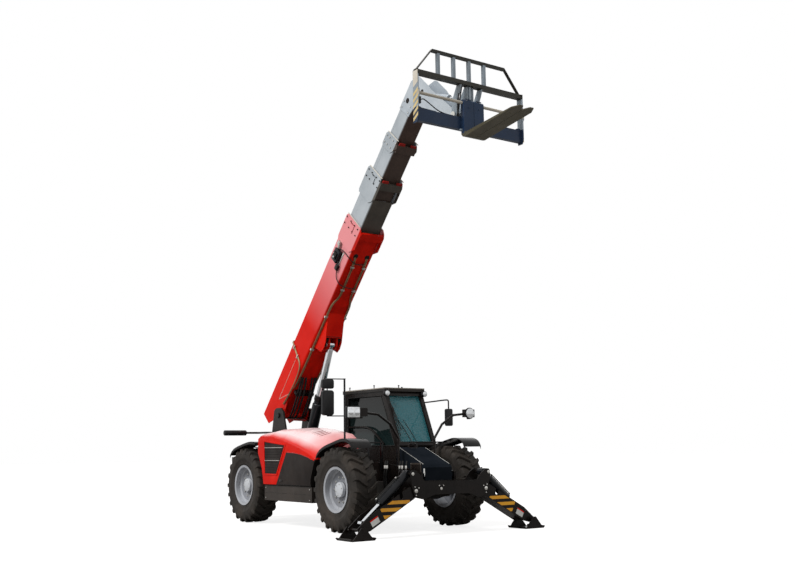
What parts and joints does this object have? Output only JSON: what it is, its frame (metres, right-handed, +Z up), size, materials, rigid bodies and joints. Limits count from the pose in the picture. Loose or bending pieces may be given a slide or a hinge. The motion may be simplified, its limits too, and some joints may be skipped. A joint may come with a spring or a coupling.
{
  "type": "telehandler",
  "caption": "Four-wheel telehandler with a cab beside a raised telescopic boom, fork carriage with a load guard, engine pod and two front stabiliser legs.",
  "frame": {"origin": "on the ground under the middle of the machine's overall box, on its centre plane", "axes": "+X forward, +Y left, +Z up"},
  "size_m": [7.1451, 3.47, 6.8727],
  "materials": {
    "red_paint": "gloss",
    "black_paint": "gloss",
    "grey_paint": "satin",
    "dark_grey_paint": "satin",
    "navy_paint": "satin",
    "rim_paint": "gloss",
    "tyre": "matt lugged",
    "chrome_rod": "polished",
    "fork_steel": "satin, worn",
    "cab_glass": "tinted",
    "seat_fabric": "woven",
    "dark_plastic": "grained",
    "pale_plastic": "gloss",
    "cast_iron": "cast"
  },
  "bodies": {
    "body": {"chassis": "black_paint", "counterweight": "black_paint", "front_axle": "dark_grey_paint", "rear_axle": "dark_grey_paint", "fenders": "black_paint", "engine_tray": "dark_grey_paint", "engine": "cast_iron", "cab_frame": "black_paint", "cab_roof": "pale_plastic", "cab_glass": "cab_glass", "seat": "seat_fabric", "helm": "dark_plastic", "front_frame": "black_paint", "nose_cover": "black_paint", "lamp_arms": "black_paint", "mirror_arms": "black_paint"},
    "hood": {"hood": "red_paint"},
    "door": {"door": "black_paint", "door_glass": "cab_glass"},
    "boom": {"boom_outer": "red_paint"},
    "second_section": {"boom_second": "grey_paint"},
    "third_section": {"boom_third": "grey_paint"},
    "fourth_section": {"boom_fourth": "grey_paint", "head": "grey_paint"},
    "carriage": {"carriage": "navy_paint", "guard": "dark_grey_paint"},
    "fork_right": {"fork_right": "fork_steel"},
    "fork_left": {"fork_left": "fork_steel"},
    "lift_barrel": {"lift_barrel": "black_paint"},
    "lift_rod": {"lift_rod": "chrome_rod"},
    "tilt_barrel": {"tilt_barrel": "black_paint"},
    "tilt_rod": {"tilt_rod": "chrome_rod"},
    "leg_right": {"leg_right": "black_paint"},
    "pad_right": {"pad_right": "black_paint"},
    "stab_barrel_right": {"stab_barrel_right": "dark_grey_paint"},
    "stab_rod_right": {"stab_rod_right": "chrome_rod"},
    "leg_left": {"leg_left": "black_paint"},
    "pad_left": {"pad_left": "black_paint"},
    "stab_barrel_left": {"stab_barrel_left": "dark_grey_paint"},
    "stab_rod_left": {"stab_rod_left": "chrome_rod"},
    "knuckle_front_right": {"knuckle_front_right": "dark_grey_paint"},
    "wheel_front_right": {"tyre_front_right": "tyre", "rim_front_right": "rim_paint"},
    "knuckle_front_left": {"knuckle_front_left": "dark_grey_paint"},
    "wheel_front_left": {"tyre_front_left": "tyre", "rim_front_left": "rim_paint"},
    "knuckle_rear_right": {"knuckle_rear_right": "dark_grey_paint"},
    "wheel_rear_right": {"tyre_rear_right": "tyre", "rim_rear_right": "rim_paint"},
    "knuckle_rear_left": {"knuckle_rear_left": "dark_grey_paint"},
    "wheel_rear_left": {"tyre_rear_left": "tyre", "rim_rear_left": "rim_paint"}
  },
  "joints": [
    {"name": "steer_front_right", "type": "hinge", "parent": "body", "child": "knuckle_front_right", "pos_m": [0.49, -0.86, 0.62], "axis": [0, 0, 1], "range_deg": [-35, 35]},
    {"name": "wheel_front_right", "type": "hinge", "parent": "knuckle_front_right", "child": "wheel_front_right", "pos_m": [0.49, -0.99, 0.62], "axis": [0, 1, 0], "continuous": true},
    {"name": "steer_front_left", "type": "hinge", "parent": "body", "child": "knuckle_front_left", "pos_m": [0.49, 0.86, 0.62], "axis": [0, 0, 1], "range_deg": [-35, 35]},
    {"name": "wheel_front_left", "type": "hinge", "parent": "knuckle_front_left", "child": "wheel_front_left", "pos_m": [0.49, 0.99, 0.62], "axis": [0, 1, 0], "continuous": true},
    {"name": "steer_rear_right", "type": "hinge", "parent": "body", "child": "knuckle_rear_right", "pos_m": [-2.46, -0.86, 0.62], "axis": [0, 0, 1], "range_deg": [-35, 35]},
    {"name": "wheel_rear_right", "type": "hinge", "parent": "knuckle_rear_right", "child": "wheel_rear_right", "pos_m": [-2.46, -0.99, 0.62], "axis": [0, 1, 0], "continuous": true},
    {"name": "steer_rear_left", "type": "hinge", "parent": "body", "child": "knuckle_rear_left", "pos_m": [-2.46, 0.86, 0.62], "axis": [0, 0, 1], "range_deg": [-35, 35]},
    {"name": "wheel_rear_left", "type": "hinge", "parent": "knuckle_rear_left", "child": "wheel_rear_left", "pos_m": [-2.46, 0.99, 0.62], "axis": [0, 1, 0], "continuous": true},
    {"name": "boom_lift", "type": "hinge", "parent": "body", "child": "boom", "pos_m": [-2.821, 0, 1.805], "axis": [0, -1, 0], "range_deg": [-51.5, 19.5]},
    {"name": "second_extend", "type": "slide", "parent": "boom", "child": "second_section", "axis": [0.6756, 0, 0.7373], "range_m": [-0.4, 3]},
    {"name": "third_extend", "type": "slide", "parent": "second_section", "child": "third_section", "axis": [0.6756, 0, 0.7373], "range_m": [-0.4, 3]},
    {"name": "fourth_extend", "type": "slide", "parent": "third_section", "child": "fourth_section", "axis": [0.6756, 0, 0.7373], "range_m": [-0.4, 3]},
    {"name": "carriage_tilt", "type": "hinge", "parent": "fourth_section", "child": "carriage", "pos_m": [2.24, 0, 5.98], "axis": [0, 1, 0], "range_deg": [-50, 30]},
    {"name": "fork_right_slide", "type": "slide", "parent": "carriage", "child": "fork_right", "axis": [0, -1, 0], "range_m": [0, 0.76]},
    {"name": "fork_left_slide", "type": "slide", "parent": "carriage", "child": "fork_left", "axis": [0, 1, 0], "range_m": [0, 0.76]},
    {"name": "lift_barrel_pivot", "type": "hinge", "parent": "body", "child": "lift_barrel", "pos_m": [-2.46, 0, 0.86], "axis": [0, -1, 0], "range_deg": [-38.14, 14.77]},
    {"name": "lift_rod_slide", "type": "slide", "parent": "lift_barrel", "child": "lift_rod", "axis": [0.4012, 0, 0.916], "range_m": [-0.7446, 0.2832]},
    {"name": "tilt_barrel_pivot", "type": "hinge", "parent": "fourth_section", "child": "tilt_barrel", "pos_m": [1.26239, 0, 6.60856], "axis": [0, 1, 0], "range_deg": [-4.14, 6.83]},
    {"name": "tilt_rod_slide", "type": "slide", "parent": "tilt_barrel", "child": "tilt_rod", "axis": [0.9411, 0, -0.3382], "range_m": [-0.1746, 0.1056]},
    {"name": "leg_right_fold", "type": "hinge", "parent": "body", "child": "leg_right", "pos_m": [1.6, -0.63, 0.62], "axis": [-1, 0, 0], "range_deg": [0, 95]},
    {"name": "pad_right_pivot", "type": "hinge", "parent": "leg_right", "child": "pad_right", "pos_m": [1.6, -1.53, 0.135], "axis": [-1, 0, 0], "range_deg": [-20, 20]},
    {"name": "stab_barrel_right_pivot", "type": "hinge", "parent": "body", "child": "stab_barrel_right", "pos_m": [1.6, -0.684, 0.854], "axis": [-1, 0, 0], "range_deg": [-0.5, 104.13]},
    {"name": "stab_rod_right_slide", "type": "slide", "parent": "stab_barrel_right", "child": "stab_rod_right", "axis": [0, -0.763, -0.6464], "range_m": [-0.3341, 0.002]},
    {"name": "leg_left_fold", "type": "hinge", "parent": "body", "child": "leg_left", "pos_m": [1.6, 0.63, 0.62], "axis": [1, 0, 0], "range_deg": [0, 95]},
    {"name": "pad_left_pivot", "type": "hinge", "parent": "leg_left", "child": "pad_left", "pos_m": [1.6, 1.53, 0.135], "axis": [1, 0, 0], "range_deg": [-20, 20]},
    {"name": "stab_barrel_left_pivot", "type": "hinge", "parent": "body", "child": "stab_barrel_left", "pos_m": [1.6, 0.684, 0.854], "axis": [1, 0, 0], "range_deg": [-0.5, 104.13]},
    {"name": "stab_rod_left_slide", "type": "slide", "parent": "stab_barrel_left", "child": "stab_rod_left", "axis": [0, 0.763, -0.6464], "range_m": [-0.3341, 0.002]},
    {"name": "door_swing", "type": "hinge", "parent": "body", "child": "door", "pos_m": [-1.506, 1.114, 1.16], "axis": [0, 0, 1], "range_deg": [0, 85]},
    {"name": "hood_lift", "type": "hinge", "parent": "body", "child": "hood", "pos_m": [-0.97, -0.405, 1.452], "axis": [-1, 0, 0], "range_deg": [0, 55]}
  ],
  "couplings": [
    {"joint": "steer_front_left", "follows": "steer_front_right", "ratio": 1},
    {"joint": "steer_rear_left", "follows": "steer_rear_right", "ratio": 1},
    {"joint": "third_extend", "follows": "second_extend", "ratio": 1},
    {"joint": "fourth_extend", "follows": "second_extend", "ratio": 1},
    {"joint": "lift_barrel_pivot", "follows": "boom_lift", "ratio": 0.73058},
    {"joint": "lift_rod_slide", "follows": "boom_lift", "m_per_rad": 0.82617},
    {"joint": "tilt_barrel_pivot", "follows": "carriage_tilt", "ratio": -0.13438},
    {"joint": "tilt_rod_slide", "follows": "carriage_tilt", "m_per_rad": 0.19778},
    {"joint": "stab_barrel_right_pivot", "follows": "leg_right_fold", "ratio": 1.0908},
    {"joint": "stab_rod_right_slide", "follows": "leg_right_fold", "m_per_rad": -0.20027},
    {"joint": "stab_barrel_left_pivot", "follows": "leg_left_fold", "ratio": 1.0908},
    {"joint": "stab_rod_left_slide", "follows": "leg_left_fold", "m_per_rad": -0.20027}
  ]
}
